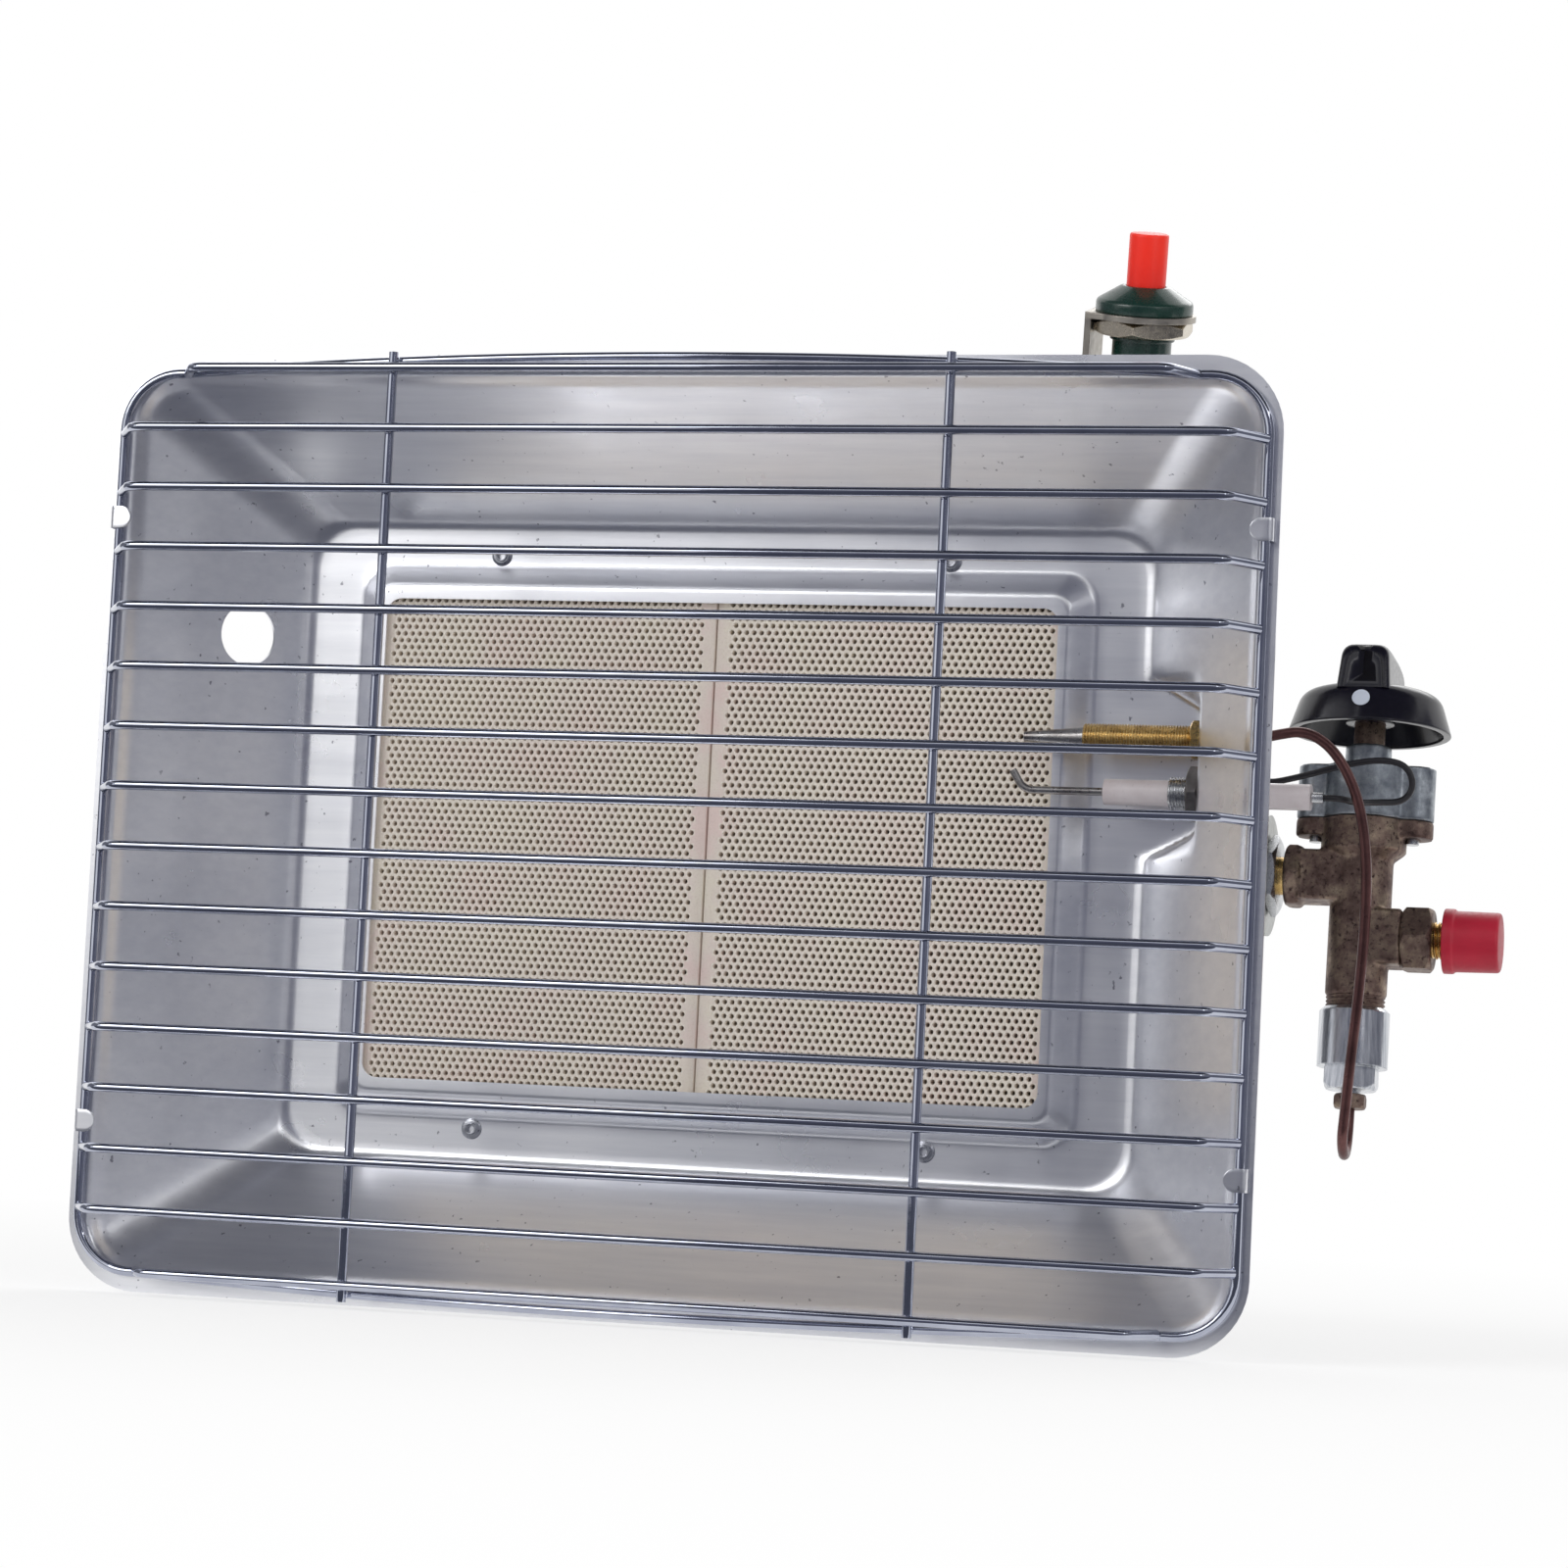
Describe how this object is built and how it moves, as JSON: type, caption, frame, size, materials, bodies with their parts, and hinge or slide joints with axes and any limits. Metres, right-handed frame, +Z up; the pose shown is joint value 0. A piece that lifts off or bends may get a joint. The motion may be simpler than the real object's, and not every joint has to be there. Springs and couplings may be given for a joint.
{
  "type": "portable propane heater",
  "caption": "Radiant gas heater head: pressed bowl with ceramic tiles behind a wire guard, safety gas valve at the side, push igniter on top, bracket behind.",
  "frame": {"origin": "middle of the two bolt holes on the rear face of the mounting bracket", "axes": "+X to the right seen from the front, towards the gas valve; +Y backwards out of the bracket's rear face; +Z up"},
  "size_m": [0.3522, 0.1054, 0.2794],
  "materials": {
    "bowl_aluminium": "satin pressed sheet",
    "rivet_aluminium": "bright",
    "box_steel": "aluminised sheet, satin",
    "fibre": "soft matt fibre",
    "tile_ceramic": "matt, finely perforated",
    "tube_steel": "dull zinc",
    "cast_brass": "aged, mottled brown",
    "bright_brass": "bright machined",
    "cast_zinc": "die cast, blue-grey",
    "plated_steel": "bright zinc plate",
    "dark_steel": "heat darkened",
    "probe_steel": "fine turned",
    "guard_chrome": "bright plated wire",
    "bracket_steel": "plain grey steel",
    "nickel": "dull nickel",
    "green_plastic": "dark green moulding",
    "red_plastic": "bright red",
    "crimson_vinyl": "soft vinyl",
    "black_plastic": "glossy moulding",
    "white_paint": "printed dot",
    "white_ceramic": "smooth",
    "piezo": "matt",
    "black_rubber": "satin",
    "copper": "drawn copper, browned"
  },
  "bodies": {
    "heater": {"reflector_pan": "bowl_aluminium", "reflector_rivets": "rivet_aluminium", "burner_box": "box_steel", "tile_gasket": "fibre", "ceramic_tile_left": "tile_ceramic", "ceramic_tile_right": "tile_ceramic", "distributor_baffle": "box_steel", "mixing_tube": "tube_steel", "air_disc": "tube_steel", "injector": "bright_brass", "injector_nut": "plated_steel", "valve_body": "cast_brass", "valve_bonnet": "cast_zinc", "bonnet_screws": "plated_steel", "spindle_spring": "plated_steel", "magnet_unit": "plated_steel", "magnet_housing": "plated_steel", "thermocouple_union_nut": "bright_brass", "inlet_fitting": "cast_brass", "igniter_bracket": "bracket_steel", "igniter_bracket_screws": "plated_steel", "igniter_body": "green_plastic", "igniter_nut": "nickel", "igniter_spring": "plated_steel", "piezo_element": "piezo", "igniter_terminal": "plated_steel", "electrode_insulator": "white_ceramic", "electrode_wire": "probe_steel", "electrode_bushing": "plated_steel", "electrode_nut": "dark_steel", "electrode_back_nut": "dark_steel", "electrode_lead": "black_rubber", "lead_ferrule": "plated_steel", "thermocouple_probe": "probe_steel", "thermocouple_sleeve": "bright_brass", "thermocouple_nut": "bright_brass", "thermocouple_capillary": "copper", "guard_side_left": "guard_chrome", "guard_side_right": "guard_chrome", "guard_bow_top": "guard_chrome", "guard_bow_bottom": "guard_chrome", "guard_upright_left": "guard_chrome", "guard_upright_right": "guard_chrome", "guard_bars": "guard_chrome", "rear_bracket": "bracket_steel", "bracket_screws": "plated_steel"},
    "plug": {"valve_plug": "bright_brass"},
    "spindle": {"valve_spindle": "bright_brass", "push_rod": "plated_steel", "safety_disc": "black_rubber", "knob": "black_plastic", "knob_marker": "white_paint"},
    "button": {"igniter_button": "red_plastic"},
    "cap": {"inlet_cap": "crimson_vinyl"}
  },
  "joints": [
    {"name": "knob_turn", "type": "hinge", "parent": "heater", "child": "plug", "pos_m": [0.1651, -0.0239, -0.00115], "axis": [0, 0.1045, 0.9945], "range_deg": [0, 90]},
    {"name": "knob_push", "type": "slide", "parent": "plug", "child": "spindle", "axis": [0, 0.1045, 0.9945], "range_m": [-0.0035, 0], "stiffness_N_per_m": 1500, "springref_m": 0.002},
    {"name": "igniter_press", "type": "slide", "parent": "heater", "child": "button", "axis": [0.0838, -0.2747, 0.9579], "range_m": [-0.006, 0], "stiffness_N_per_m": 1200, "springref_m": 0.002},
    {"name": "inlet_cap_pull", "type": "slide", "parent": "heater", "child": "cap", "axis": [1, 0, 0], "range_m": [0, 0.02]}
  ]
}
